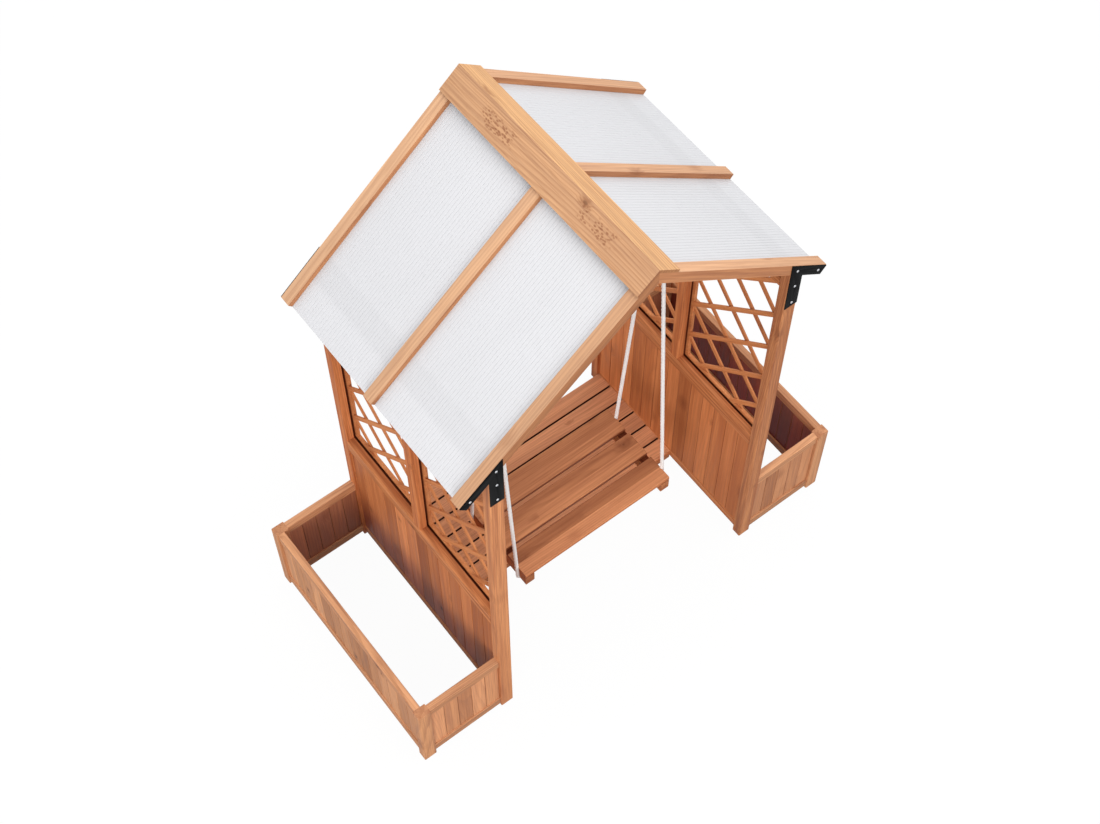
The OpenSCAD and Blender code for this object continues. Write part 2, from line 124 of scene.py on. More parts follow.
# How far the rings bend, how strongly the grain shows, and how dark the knots are
PLAIN_FIGURE = (34.0, 1.0, 0.9)
QUIET_FIGURE = (34.0, 0.7, 0.9)

# Points closer than the first are welded, and lengths below the second count as none
WELD = 0.00001
NEAR = 0.0001

SIDES = ("left", "right")


class WoodLook(bpy.types.PropertyGroup):
    """Colours and depth of the wood's grain."""

    light: bpy.props.FloatVectorProperty(
        name="Light grain", description="Colour of the palest streaks",
        subtype="COLOR", size=3, min=0.0, max=1.0, default=(0.74, 0.300, 0.118))
    middle: bpy.props.FloatVectorProperty(
        name="Middle grain", description="Colour that most of the wood has",
        subtype="COLOR", size=3, min=0.0, max=1.0, default=(0.44, 0.135, 0.045))
    dark: bpy.props.FloatVectorProperty(
        name="Dark grain", description="Colour of the late wood in a ring",
        subtype="COLOR", size=3, min=0.0, max=1.0, default=(0.20, 0.052, 0.020))
    knot: bpy.props.FloatVectorProperty(
        name="Knots", description="Colour at the heart of a knot",
        subtype="COLOR", size=3, min=0.0, max=1.0, default=(0.050, 0.015, 0.009))
    # Faces turn towards this colour, partly as sun bleach and, on faces that look up, as painted top light
    bleached_and_lit: bpy.props.FloatVectorProperty(
        name="Bleached wood", description="Colour that the sun gives to faces that look up",
        subtype="COLOR", size=3, min=0.0, max=1.0, default=(0.67, 0.455, 0.285))
    # Painted shade in the planters: how strongly it darkens the wood, most near the floor
    planter_shade: bpy.props.FloatProperty(
        name="Damp", description="How much damp darkens the wood inside the planters",
        subtype="FACTOR", min=0.0, max=1.0, default=0.75)
    relief: bpy.props.FloatProperty(
        name="Grain relief", description="Depth of the grain's relief",
        subtype="DISTANCE", unit="LENGTH", min=0.0, max=0.005, default=0.0006)


class SheetSizes(bpy.types.PropertyGroup):
    """Sizes of the roof sheets' flutes."""

    flute: bpy.props.FloatProperty(
        name="Flute width", description="Distance from one flute to the next",
        subtype="DISTANCE", unit="LENGTH", min=0.006, max=0.04, default=0.012)
    valley: bpy.props.FloatProperty(
        name="Valley depth", description="How deep the valleys between the flutes are",
        subtype="DISTANCE", unit="LENGTH", min=0.0002, max=0.003, default=0.0012)
    colour: bpy.props.FloatVectorProperty(
        name="Sheet colour", description="Colour of the fluted sheets",
        subtype="COLOR", size=3, min=0.0, max=1.0, default=(0.58, 0.58, 0.60))
    cover: bpy.props.FloatProperty(
        name="Cover", description="How much the sheets hide what lies under them",
        subtype="FACTOR", min=0.0, max=1.0, default=0.93)


class RopeSizes(bpy.types.PropertyGroup):
    """Sizes of the laid rope."""

    radius: bpy.props.FloatProperty(
        name="Rope radius", description="Radius of the rope over its strands",
        subtype="DISTANCE", unit="LENGTH", min=0.002, max=0.02, default=0.007)
    lay: bpy.props.FloatProperty(
        name="Lay", description="Length in which a strand goes once round",
        subtype="DISTANCE", unit="LENGTH", min=0.02, max=0.2, default=0.060)
    hollow: bpy.props.FloatProperty(
        name="Hollow", description="Depth of the hollow between two strands",
        subtype="DISTANCE", unit="LENGTH", min=0.0, max=0.003, default=0.0010)
    colour: bpy.props.FloatVectorProperty(
        name="Rope colour", description="Colour of the rope's fibres",
        subtype="COLOR", size=3, min=0.0, max=1.0, default=(0.95, 0.94, 0.93))


class FittingSizes(bpy.types.PropertyGroup):
    """Sizes and colours of the corner plates and their screws."""

    rounding: bpy.props.FloatProperty(
        name="Plate rounding", description="Rounding of the corner plates' edges",
        subtype="DISTANCE", unit="LENGTH", min=0.0001, max=0.0012, default=0.0006)
    head: bpy.props.FloatProperty(
        name="Head radius", description="Radius of a screw's head",
        subtype="DISTANCE", unit="LENGTH", min=0.003, max=0.006, default=0.0045)
    paint: bpy.props.FloatVectorProperty(
        name="Plate colour", description="Colour of the corner plates' coating",
        subtype="COLOR", size=3, min=0.0, max=1.0, default=(0.0040, 0.0042, 0.0048))
    steel: bpy.props.FloatVectorProperty(
        name="Screw colour", description="Colour of the plated screws",
        subtype="COLOR", size=3, min=0.0, max=1.0, default=(0.70, 0.71, 0.74))


class StageSettings(bpy.types.PropertyGroup):
    """Light and ground of the picture."""

    sky: bpy.props.FloatProperty(
        name="Sky light", description="Strength of the even light from all round",
        min=0.0, max=3.0, default=1.10)
    lamp: bpy.props.FloatProperty(
        name="Lamp", description="Power of the large soft lamp overhead",
        subtype="POWER", unit="POWER", min=0.0, max=5000.0, default=125.0)
    side_lamp: bpy.props.FloatProperty(
        name="Side lamp", description="Power of the soft lamp before the object",
        subtype="POWER", unit="POWER", min=0.0, max=5000.0, default=108.0)
    ground: bpy.props.FloatVectorProperty(
        name="Ground", description="Colour of the floor as it lights the object",
        subtype="COLOR", size=3, min=0.0, max=1.0, default=(0.20, 0.19, 0.185))


class Wire:
    """One output inside a finish. Python's signs add the sums made of it."""

    def __init__(self, finish, out):
        self.finish = finish
        self.out = out

    def beside(self, output):
        """Another output of the same node."""
        return Wire(self.finish, self.out.node.outputs[output])

    def __add__(self, other):
        return self.finish.sum("ADD", self, other)

    def __sub__(self, other):
        return self.finish.sum("SUBTRACT", self, other)

    def __rsub__(self, other):
        return self.finish.sum("SUBTRACT", other, self)

    def __mul__(self, other):
        return self.finish.sum("MULTIPLY", self, other)

    def __truediv__(self, other):
        return self.finish.sum("DIVIDE", self, other)

    def __rtruediv__(self, other):
        return self.finish.sum("DIVIDE", other, self)

    __radd__ = __add__
    __rmul__ = __mul__

    def floor(self):
        return self.finish.sum("FLOOR", self)

    def size(self):
        return self.finish.sum("ABSOLUTE", self)

    def off_whole(self):
        """How far the value lies from the nearest whole number."""
        return (self - (self + 0.5).floor()).size()


class Finish:
    """A material that is put together node by node."""

    def __init__(self, name):
        self.material = bpy.data.materials.new(name)
        self.material.use_nodes = True
        self.nodes = self.material.node_tree.nodes
        self.links = self.material.node_tree.links
        self.surface = self.nodes["Principled BSDF"]

    def feed(self, socket, value):
        """Links a wire to a socket, or gives the socket a plain value."""
        if isinstance(value, Wire):
            self.links.new(value.out, socket)
        else:
            socket.default_value = value

    def node(self, kind, settings=None, sockets=None, output=0):
        """Adds a node with its settings and what goes into its sockets. Gives one of its outputs."""
        made = self.nodes.new(kind)
        for name, value in (settings or {}).items():
            setattr(made, name, value)
        for name, value in (sockets or {}).items():
            self.feed(made.inputs[name], value)
        return Wire(self, made.outputs[output])

    def sum(self, operation, *values):
        return self.node("ShaderNodeMath", {"operation": operation}, dict(enumerate(values)))

    def ramp(self, value, low, high):
        """Runs smoothly from 0 at low to 1 at high."""
        return self.node("ShaderNodeMapRange", {"interpolation_type": "SMOOTHSTEP"},
                         {"Value": value, "From Min": low, "From Max": high})

    def mix(self, share, under, over, how="MIX"):
        under = under if isinstance(under, Wire) else (*under, 1.0)
        over = over if isinstance(over, Wire) else (*over, 1.0)
        return self.node("ShaderNodeMix", {"data_type": "RGBA", "blend_type": how},
                         {0: share, 6: under, 7: over}, 2)

    def joined(self, x, y, z):
        return self.node("ShaderNodeCombineXYZ", None, {0: x, 1: y, 2: z})

    def parts(self, vector):
        first = self.node("ShaderNodeSeparateXYZ", None, {0: vector})
        return [first.beside(k) for k in range(3)]

    def place(self):
        """Where a spot lies in the frame: its x, y and z."""
        return self.parts(self.node("ShaderNodeTexCoord", output="Object"))

    def facing(self):
        """Which way a spot's face looks: the x, y and z of its normal."""
        return self.parts(self.node("ShaderNodeTexCoord", output="Normal"))

    def coat(self, sockets):
        """Feeds the sockets of the surface."""
        for name, value in sockets.items():
            self.feed(self.surface.inputs[name], value)

    def noise(self, place, scales, detail=2.0, roughness=0.5):
        """A cloudy field from 0 to 1, with one scale or a scale for each of the three ways."""
        if isinstance(scales, float):
            scales = (scales, scales, scales)
        vector = self.joined(*(way * scale for way, scale in zip(place, scales)))
        return self.node("ShaderNodeTexNoise", None,
                         {"Vector": vector, "Scale": 1.0, "Detail": detail, "Roughness": roughness})

    def dots(self, vector):
        """How far the nearest of scattered dots lies, with about one dot to a unit cell."""
        return self.node("ShaderNodeTexVoronoi", {"feature": "F1"}, {"Vector": vector, "Scale": 1.0})

    def chances(self, number):
        """Three numbers from 0 to 1 that belong to a whole number."""
        return self.parts(self.node("ShaderNodeTexWhiteNoise", {"noise_dimensions": "1D"}, {"W": number}, 1))

    def relief(self, height, distance, strength=1.0):
        self.feed(self.surface.inputs["Normal"],
                  self.node("ShaderNodeBump", None,
                            {"Strength": strength, "Distance": distance, "Height": height}))


# For each run of the grain: the way along it, the way across it and the way into it
GRAINS = {
    "x": lambda x, y, z: (x, y, z),
    "y": lambda x, y, z: (y, x, z),
    "z": lambda x, y, z: (z, x, y),
    "right slope": lambda x, y, z: (z * SLOPE_S - x * SLOPE_C, y, x * SLOPE_S + z * SLOPE_C),
    "left slope": lambda x, y, z: (z * SLOPE_S + x * SLOPE_C, y, z * SLOPE_C - x * SLOPE_S),
}


# A lay tells the number of the board at a spot, and how far the board's nearer edge lies, if it shows


def sticks_apart(x_step, y_step, z_step):
    """Lay of posts or rails that stand in cells of their own. A step of 0 leaves its way out."""
    def lay(x, y, z):
        number = x * 0.0
        for place, step, weight in ((x, x_step, 1.0), (y, y_step, 11.0), (z, z_step, 37.0)):
            if step:
                number = number + (place / step + 0.5).floor() * weight
        return number, None
    return lay


def boards_along_y(count):
    """Lay of boards side by side between a front and a rear post."""
    step = (DEPTH - 2.0 * POST_DEPTH) / count

    def lay(x, y, z):
        place = y / step + count / 2.0
        return place.floor() + (x / 0.2 + 0.5).floor() * 23.0, place.off_whole() * step
    return lay


def boards_along_x(x, y, z):
    """Lay of the boards side by side in the planters' ends."""
    step = (PLANTER_WIDTH - POST_WIDTH) / END_BOARDS
    place = (x.size() - WALL_OUT) / step
    number = place.floor() + (x / 0.5).floor() * 13.0 + (y / 0.4).floor() * 29.0
    return number, place.off_whole() * step


def boards_across(count, step, start, gap, staves=1):
    """Lay of boards from the front to the rear with gaps between them. A board may be glued of staves."""
    def lay(x, y, z):
        place = (y - start) / step
        nearest = y.finish.sum("MAXIMUM", (place + 0.5).floor(), 1.0)
        nearest = y.finish.sum("MINIMUM", nearest, count - 1.0)
        return (place * staves).floor(), (place - nearest).size() * step - gap / 2.0
    return lay


def slats_apart(past_middle):
    """Lay of the trellises: in each, the slats that fall lie past the middle of its thickness."""
    def lay(x, y, z):
        return past_middle(x) + (x / 0.9).floor() * 3.0 + (y / 0.45).floor() * 7.0, None
    return lay


def painted_shade_on(axis, way, tint, most, low, high, fall=1.0):
    """Painted shade on the faces that look away from the frame's middle along an axis, or back to it with a
    way of -1. It is strongest near the floor and falls between two heights. Gives where it lies, and
    its tint."""
    def where(wood, place, faces):
        looks = wood.ramp(faces[axis] * wood.sum("SIGN", place[axis]) * way, 0.5, 0.9)
        return looks * (most - wood.ramp(place[2], low, high) * fall)
    return where, tint


# Painted shade, darker towards the floor, on the walls in the planters, and on the inner faces of the
# planters' long sides and ends
WALL_PAINTED_SHADE = painted_shade_on(0, 1.0, (0.55, 0.32, 0.68), 1.0, 0.05, 0.37)
SIDE_PAINTED_SHADE = painted_shade_on(0, -1.0, (0.44, 0.15, 0.24), 1.34, 0.10, 0.75)
END_PAINTED_SHADE = painted_shade_on(1, -1.0, (0.44, 0.15, 0.24), 0.66, 0.10, 0.60, 0.5)


def groove_shade(wood, x, y, z):
    """The open groove beside the trellis, in the posts and the rail round it, lies in shade."""
    right = wood.sum("GREATER_THAN", x, 0.0)
    aside = (x - GROOVE_LEFT - right * (GROOVE_RIGHT - GROOVE_LEFT)).size()
    within = wood.sum("LESS_THAN", aside, GROOVE_HALF) * wood.sum("LESS_THAN", y.size(), GROOVE_REACH)
    return within * wood.sum("GREATER_THAN", z, GROOVE_LOW) * wood.sum("LESS_THAN", z, GROOVE_HIGH)


def under_boards(wood, x, y, z):
    """The bearers' tops lie in the shade of the seat boards."""
    return wood.sum("GREATER_THAN", z, BEARER_TOP - 0.0005)


def find_knots(wood, along, across, into):
    """Small knots, a few to a board, drawn out along the grain: their hearts, and the grain round them."""
    knots = wood.dots(wood.joined(along * 5.0, across * 9.0, into * 9.0))
    lot = wood.parts(knots.beside("Color"))
    ragged = wood.noise((along, across, into), (60.0, 110.0, 110.0), 3.0)
    away = (knots + (ragged - 0.5) * 0.07) / (lot[1] * 0.8 + 0.5)
    has_knot = wood.ramp(lot[0], 0.20, 0.22)
    heart = (1.0 - wood.ramp(away, 0.035, 0.080)) * has_knot
    halo = (1.0 - wood.ramp(away, 0.04, 0.28)) * has_knot
    return heart, halo


def find_flecks(wood, along, across, spots):
    """Clusters of short dark flecks round the given places along and across the grain."""
    half_length, half_width = 0.085, 0.020
    flecks = 0.0
    ragged = wood.noise((along, across, 0.0), (18.0, 50.0, 0.0))
    for run, side in spots:
        away = wood.sum("MAXIMUM", (along - run).size() / half_length, (across - side).size() / half_width)
        flecks = (1.0 - wood.ramp(away + ragged * 0.8, 1.0, 1.5)) + flecks
    specks = wood.dots(wood.joined(along * 85.0 + ragged * 1.5, across * 190.0, 0.0))
    return flecks * ((1.0 - wood.ramp(specks, 0.26, 0.56)) * 0.9 + 0.10)


def wood_finish(name, grain, lay, seed, spread=0.45, tone=(1.0, 1.0, 1.0), bleach_and_top_light=(0.0, 0.0),
                seam_shade=(0.42, "knot"), planter_shade=None, shade=None, figure=PLAIN_FIGURE, fleck_spots=()):
    """Oiled wood whose grain runs one way, or as a function says. Its boards lie as lay says, differ
    by spread and are toned as a whole. The bleach pair holds the bleached shares of what looks up and of
    what stands upright; the extra that what looks up takes is painted top light. The seam pair holds how
    strongly shade is painted on the boards' edges beside a gap and the colour it turns to, the planter
    pair holds where shade is painted in the planters and its tint, and shade tells what lies in shade."""
    look = bpy.context.scene.wood_look
    bend, grain_share, knot_share = figure
    wood = Finish(name)
    x, y, z = wood.place()
    along, across, into = (grain if callable(grain) else GRAINS[grain])(x, y, z)
    number, seam = lay(x, y, z)
    first, second, third = wood.chances(number + seed * 5.13)
    flecks = find_flecks(wood, along, across, fleck_spots) if fleck_spots else None

    # Each board is cut from another spot of the wood
    along = along + first * 9.0
    across = across + second * 4.0
    into = into + third * 4.0

    # Rings: level lines of a slope across the grain, which a slow field bends
    heart, halo = find_knots(wood, along, across, into)
    place = (along, across, into)
    field = wood.noise(place, (0.40, 4.5, 4.5), 1.0)
    wander = wood.noise(place, (3.0, 20.0, 20.0), 3.0)
    rings = across * 75.0 + into * 40.0 + field * bend + halo * 1.3 + wander * 0.8
    saw = wood.sum("FRACT", rings)
    late = wood.ramp(saw, 0.30, 0.88) * (1.0 - wood.ramp(saw, 0.92, 1.0))
    streak = wood.noise(place, (1.3, 48.0, 48.0), 5.0, 0.7)
    fibre = wood.noise(place, (5.0, 190.0, 190.0), 4.0, 0.65)
    band = wood.noise(place, (0.9, 15.0, 15.0))

    # Colour: pale and middle streaks, then bleach with painted top light, and what darkens them, then the
    # board's own tone
    faces = wood.facing()
    pale = wood.ramp(streak, 0.35, 0.65) * grain_share + (1.0 - grain_share) / 2.0
    colour = wood.mix(pale, look.middle, look.light)
    colour = wood.mix(wood.ramp(band, 0.45, 0.70) * 0.45, colour, look.middle)
    # Bleach on every face, and more on the faces that look up as painted top light
    if any(bleach_and_top_light):
        looks_up = wood.ramp(faces[2], 0.30, 0.80)
        colour = wood.mix(looks_up * (bleach_and_top_light[0] - bleach_and_top_light[1]) + bleach_and_top_light[1], colour, look.bleached_and_lit)
    colour = wood.mix(late * (0.26 * grain_share), colour, look.dark)
    colour = wood.mix(wood.ramp(fibre, 0.45, 0.70) * (0.34 * grain_share), colour, look.dark)
    colour = wood.mix(halo * 0.45, colour, look.dark)
    colour = wood.mix(heart * knot_share, colour, look.knot)
    if flecks:
        colour = wood.mix(flecks * 0.60, colour, look.dark)
    dull = [part * (1.0 - fall * spread) for part, fall in zip(tone, DULL_FALLS)]
    fresh = [part * (1.0 + rise * spread) for part, rise in zip(tone, FRESH_RISES)]
    colour = wood.mix(1.0, colour, wood.mix(first, dull, fresh), "MULTIPLY")

    # Cut ends are darker
    if grain in ("x", "y", "z"):
        end = wood.ramp(faces["xyz".index(grain)].size(), 0.80, 0.95)
        colour = wood.mix(end * 0.35, colour, look.dark)
    # Painted shade on the boards' edges beside a gap
    if seam:
        share, turned_to = seam_shade
        near = 1.0 - wood.ramp(seam, 0.0004, 0.0022)
        colour = wood.mix(near * share, colour, getattr(look, turned_to))
    # Painted shade inside the planters, darker towards the floor
    if planter_shade:
        where, tint = planter_shade
        patchy = wood.noise((x, y, z), 7.0)
        share = where(wood, (x, y, z + (patchy - 0.5) * 0.16), faces) * look.planter_shade
        colour = wood.mix(share, colour, wood.mix(1.0, colour, tint, "MULTIPLY"))
    if shade:
        deep = wood.mix(1.0, colour, SHADE_TINT, "MULTIPLY")
        colour = wood.mix(shade(wood, x, y, z), colour, deep)

    wood.coat({"Base Color": colour, "Roughness": 0.52 + streak * 0.22 - late * 0.06,
               "Specular IOR Level": 0.14})
    wood.relief(late * 0.35 + fibre * 0.55 + heart * 0.5, look.relief, 0.5)
    return wood.material


def past_middles(middle_left, middle_right):
    """Makes what tells 1 past the middle of either trellis's thickness, and 0 before it."""
    def past_middle(x):
        right = x.finish.sum("GREATER_THAN", x, 0.0)
        return x.finish.sum("GREATER_THAN", x, right * (middle_right - middle_left) + middle_left)
    return past_middle


def slat_grain(past_middle):
    """Grain of the slats: one layer rises to the front, and the other falls."""
    def grain(x, y, z):
        way = past_middle(x) * 2.0 - 1.0
        along = (z + y * way) * DIAGONAL
        across = (z * way - y) * DIAGONAL
        return along, across, x
    return grain


def finish_nodes(names, material):
    """Gives CAD nodes a finish of their own."""
    for name in names:
        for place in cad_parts[name].material_slots:
            place.material = material


def sides(*stems):
    """The names of the left and right nodes of each stem."""
    return [f"{stem}_{side}" for stem in stems for side in SIDES]


def settle(piece, name, material, body, slot, *nodes):
    """Names a finished piece, gives it its finish and body, and hides what it stands for."""
    piece.name = name
    piece.data.name = name
    piece.data.materials.clear()
    piece.data.materials.append(material)
    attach(piece, body)
    if nodes:
        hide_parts(*nodes)


def alone(piece):
    """Makes a piece the only selected one."""
    bpy.ops.object.select_all(action="DESELECT")
    piece.select_set(True)
    bpy.context.view_layer.objects.active = piece


def freeze(piece):
    """Moves a piece's place, turn and scale into its mesh."""
    alone(piece)
    bpy.ops.object.transform_apply(location=True, rotation=True, scale=True)


def add_modifier(piece, kind, **settings):
    """Adds a modifier and applies it."""
    alone(piece)
    modifier = piece.modifiers.new(kind.title(), kind)
    for name, value in settings.items():
        setattr(modifier, name, value)
    bpy.ops.object.modifier_apply(modifier=modifier.name)


def pick(piece, keep, what="FACE"):
    """Opens a piece in edit mode with only the faces or edges that keep accepts selected."""
    alone(piece)
    bpy.ops.object.mode_set(mode="EDIT")
    bpy.ops.mesh.select_mode(type=what)
    bpy.ops.mesh.select_all(action="DESELECT")
    shape = bmesh.from_edit_mesh(piece.data)
    for part in (shape.faces if what == "FACE" else shape.edges):
        part.select_set(bool(keep(part)))
    bmesh.update_edit_mesh(piece.data)


def close_edit():
    bpy.ops.object.mode_set(mode="OBJECT")


class SwingOperator:
    """What all the operators share."""

    bl_options = {"REGISTER", "UNDO"}


class GARDENSWING_OT_side_walls(SwingOperator, bpy.types.Operator):
    """Finish the posts, rails, boards and top plates of the side walls"""

    bl_idname = "garden_swing.side_walls"
    bl_label = "Side Walls"

    def execute(self, context):
        finish_nodes(sides("front_post"),
                     wood_finish("front_post_wood", "z", sticks_apart(0.3, 0.2, 0.0), 40, 0.6,
                                 (1.05, 1.06, 1.08), bleach_and_top_light=(0.2, 0.12), shade=groove_shade))
        finish_nodes(sides("mid_post", "rear_post"),
                     wood_finish("back_post_wood", "z", sticks_apart(0.3, 0.2, 0.0), 6, 0.35,
                                 (1.05, 0.96, 0.90), shade=groove_shade))
        finish_nodes(sides("wall_top_rail", "wall_bottom_rail"),
                     wood_finish("rail_wood", "y", sticks_apart(0.3, 0.0, 0.3), 2, shade=groove_shade))
        finish_nodes(sides("wall_boards"),
                     wood_finish("wall_board_wood", "z", boards_along_y(WALL_BOARDS), 3, 1.25,
                                 (0.94, 0.87, 0.85), planter_shade=WALL_PAINTED_SHADE, figure=(34.0, 0.5, 0.9)))
        finish_nodes(sides("top_plate_front", "top_plate_rear"),
                     wood_finish("plate_wood", "y", sticks_apart(0.3, 0.2, 0.3), 4))
        return {"FINISHED"}


class GARDENSWING_OT_trellises(SwingOperator, bpy.types.Operator):
    """Finish the slats of the trellises"""

    bl_idname = "garden_swing.trellises"
    bl_label = "Trellises"

    def execute(self, context):
        left_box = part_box("trellis_front_left")
        right_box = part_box("trellis_front_right")
        past_middle = past_middles((left_box[0][0] + left_box[1][0]) / 2.0,
                                   (right_box[0][0] + right_box[1][0]) / 2.0)
        finish_nodes(sides("trellis_front", "trellis_rear"),
                     wood_finish("slat_wood", slat_grain(past_middle), slats_apart(past_middle), 5,
                                 figure=(34.0, 0.45, 0.6)))
        return {"FINISHED"}


class GARDENSWING_OT_planters(SwingOperator, bpy.types.Operator):
    """Finish the posts, rails and boards of the planters"""

    bl_idname = "garden_swing.planters"
    bl_label = "Planters"

    def execute(self, context):
        finish_nodes(sides("planter_post_front", "planter_post_rear"),
                     wood_finish("planter_post_wood", "z", sticks_apart(0.3, 0.2, 0.0), 6,
                                 bleach_and_top_light=(0.4, 0.32)))
        finish_nodes(sides("planter_long_rails"),
                     wood_finish("long_rail_wood", "y", sticks_apart(0.3, 0.0, 0.3), 7, bleach_and_top_light=(0.4, 0.32)))
        finish_nodes(sides("planter_front_rails", "planter_rear_rails"),
                     wood_finish("end_rail_wood", "x", sticks_apart(0.7, 0.3, 0.3), 8, bleach_and_top_light=(0.4, 0.32)))
        finish_nodes(sides("planter_long_boards"),
                     wood_finish("long_board_wood", "z", boards_along_y(LONG_BOARDS), 9, 1.0,
                                 bleach_and_top_light=(0.32, 0.32), planter_shade=SIDE_PAINTED_SHADE, figure=QUIET_FIGURE))
        finish_nodes(sides("planter_front_boards", "planter_rear_boards"),
                     wood_finish("end_board_wood", "z", boards_along_x, 10, 1.0, (1.04, 0.99, 0.99),
                                 bleach_and_top_light=(0.32, 0.32), planter_shade=END_PAINTED_SHADE, figure=QUIET_FIGURE))
        return {"FINISHED"}


class GARDENSWING_OT_roof_timber(SwingOperator, bpy.types.Operator):
    """Finish the rafters and the ridge boards"""

    bl_idname = "garden_swing.roof_timber"
    bl_label = "Roof Timber"

    def execute(self, context):
        # The left slope's rafters and ridge board are toned darker than the right's, as painted shade
        # against the stronger light on that slope
        for side, seed, spread, tone in (("left", 341, 0.6, (0.87, 0.94, 1.0)),
                                         ("right", 12, 0.15, (0.91, 0.95, 1.0))):
            finish_nodes([f"rafter_{place}_{side}" for place in ("front", "mid", "rear")],
                         wood_finish(f"rafter_wood_{side}", f"{side} slope", sticks_apart(0.0, 0.2, 0.0),
                                     seed, spread, tone, bleach_and_top_light=(0.55, 0.15), figure=(12.0, 0.7, 0.9)))
        for side, seed, tone in (("left", 26, (0.76, 0.79, 0.78)), ("right", 20, (0.88, 0.93, 0.84))):
            finish_nodes([f"ridge_cap_{side}"],
                         wood_finish(f"ridge_wood_{side}", "y", sticks_apart(0.0, 0.0, 0.0), seed,
                                     tone=tone, bleach_and_top_light=(0.52, 0.3), figure=(34.0, 0.95, 0.4),
                                     fleck_spots=((0.22, -0.037), (-0.22, -0.034))))
        return {"FINISHED"}


class GARDENSWING_OT_roof_sheets(SwingOperator, bpy.types.Operator):
    """Make the fluted roof sheets"""

    bl_idname = "garden_swing.roof_sheets"
    bl_label = "Roof Sheets"

    def finish(self, sizes):
        sheet = Finish("fluted_sheet")
        place = sheet.place()
        within = sheet.sum("FRACT", place[1] / sizes.flute)
        rib = 1.0 - sheet.ramp((within - 0.5).size(), 0.02, 0.13)
        haze = sheet.noise(place, (3.0, 9.0, 3.0))
        dust = sheet.noise(place, 60.0, 3.0)
        rib_and_shade = [v * 0.80 for v in sizes.colour]
        colour = sheet.mix(rib * 0.20 + sheet.ramp(haze, 0.3, 0.8) * 0.10, sizes.colour, rib_and_shade)

        # Painted shade: the sheet is darker over the wall's top and over the shaded bay, as if they showed
        # through it
        off = place[0].size()
        past_wall = sheet.ramp(off, WALL_OUT - 0.0035, WALL_OUT + 0.0215)
        shade_over_wall = sheet.ramp(off, WALL_IN - 0.0215, WALL_IN + 0.0035) * (1.0 - past_wall)
        shade_over_bay = 1.0 - sheet.ramp(off, WALL_IN - 0.0365, WALL_IN + 0.0235)
        colour = sheet.mix(shade_over_wall * 0.30 + shade_over_bay * 0.16, colour, rib_and_shade)
        sheet.coat({"Base Color": colour, "Roughness": 0.30 + dust * 0.12,
                    "Alpha": sizes.cover + rib * (1.0 - sizes.cover) * 0.7})
        sheet.relief(dust, 0.0002, 0.2)
        return sheet.material

    def make(self, width, sizes):
        """A sheet flat at the origin: its flutes run along X from the eave, side by side along Y."""
        count = round(width / sizes.flute)
        step = width / count
        bpy.ops.mesh.primitive_cube_add(size=1.0,
                                        location=(PANEL_RUN / 2.0, step / 2.0, -PANEL_THICK / 2.0))
        sheet = bpy.context.active_object
        sheet.scale = (PANEL_RUN, step, PANEL_THICK)
        freeze(sheet)
        pick(sheet, lambda edge: all(v.co.z > -NEAR for v in edge.verts)
             and abs(edge.verts[0].co.y - edge.verts[1].co.y) < NEAR, "EDGE")
        bpy.ops.mesh.bevel(offset=sizes.valley, segments=3, profile=0.5)
        close_edit()
        pick(sheet, lambda face: abs(face.normal.y) > 0.9)
        bpy.ops.mesh.delete(type="FACE")
        close_edit()
        add_modifier(sheet, "ARRAY", count=count, use_relative_offset=False, use_constant_offset=True,
                     constant_offset_displace=(0.0, step, 0.0), use_merge_vertices=True,
                     merge_threshold=NEAR)
        pick(sheet, lambda edge: edge.is_boundary, "EDGE")
        bpy.ops.mesh.edge_face_add()
        bpy.ops.mesh.select_all(action="SELECT")
        bpy.ops.mesh.remove_doubles(threshold=WELD)
        bpy.ops.mesh.normals_make_consistent(inside=False)
        close_edit()
        return sheet

    def execute(self, context):
        sizes = context.scene.sheet_sizes
        material = self.finish(sizes)
        for place in ("front", "rear"):
            low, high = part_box(f"roof_panel_{place}_right")
            width = high[1] - low[1]
            for side, sign in (("right", 1.0), ("left", -1.0)):
                sheet = self.make(width, sizes)
                # The sheet's X runs up the slope from the eave
                up = Vector((-sign * SLOPE_C, 0.0, SLOPE_S))
                out = Vector((sign * SLOPE_S, 0.0, SLOPE_C))
                across = out.cross(up)
                start = Vector((sign * EAVE.x, 0.0, EAVE.z)) - out * PANEL_DROP
                start.y = low[1] if across.y > 0.0 else high[1]
                turn = Matrix((up, across, out)).transposed().to_4x4()
                sheet.matrix_world = Matrix.Translation(start) @ turn
                freeze(sheet)
                settle(sheet, f"fluted_sheet_{place}_{side}", material, "frame", "fluted_panel",
                       f"roof_panel_{place}_{side}")
        return {"FINISHED"}


